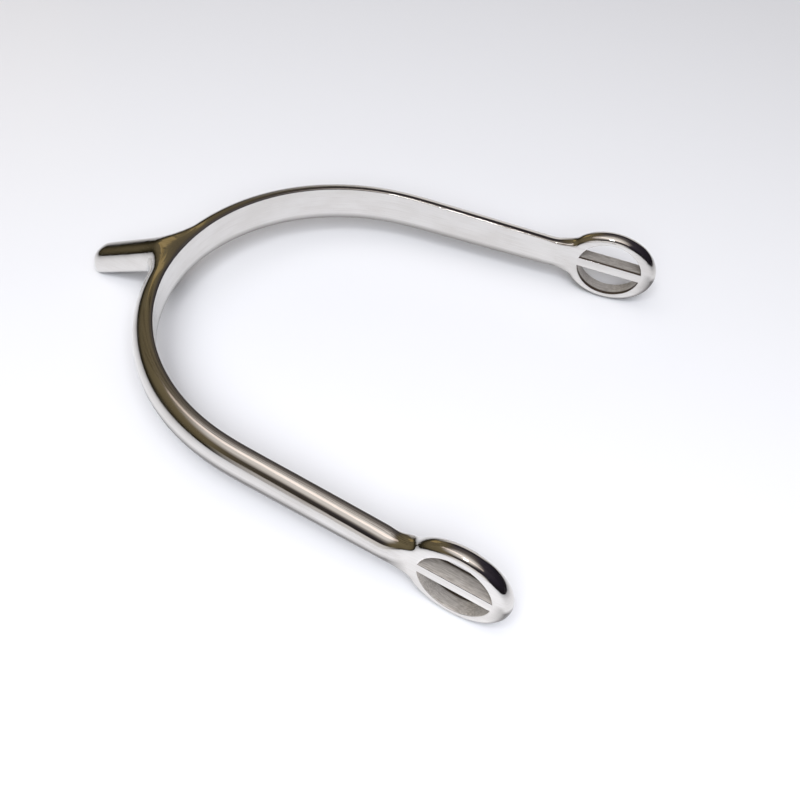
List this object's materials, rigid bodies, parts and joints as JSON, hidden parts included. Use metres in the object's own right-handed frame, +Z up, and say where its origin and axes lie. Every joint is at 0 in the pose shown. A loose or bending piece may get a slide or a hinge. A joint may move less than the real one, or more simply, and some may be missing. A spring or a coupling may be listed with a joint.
{
  "type": "riding spur",
  "caption": "Polished steel English spur: U-shaped heel band, blunt drooping neck, and an oval barred strap eye on each arm.",
  "frame": {"origin": "centre of the bounding box's base, on the surface that the spur lies on", "axes": "+X from the neck towards the open arms, +Y towards the left arm, +Z up off the surface"},
  "size_m": [0.1174, 0.0994, 0.0176],
  "materials": {
    "polished_steel": "mirror-polished stainless steel with fine hairlines",
    "satin_steel": "stainless steel left satin inside the slots, polished on its two faces"
  },
  "bodies": {
    "root": {"heel_band": "polished_steel", "neck": "polished_steel", "left_strap_eye": "polished_steel", "right_strap_eye": "polished_steel", "left_strap_bar": "satin_steel", "right_strap_bar": "satin_steel"}
  },
  "joints": []
}
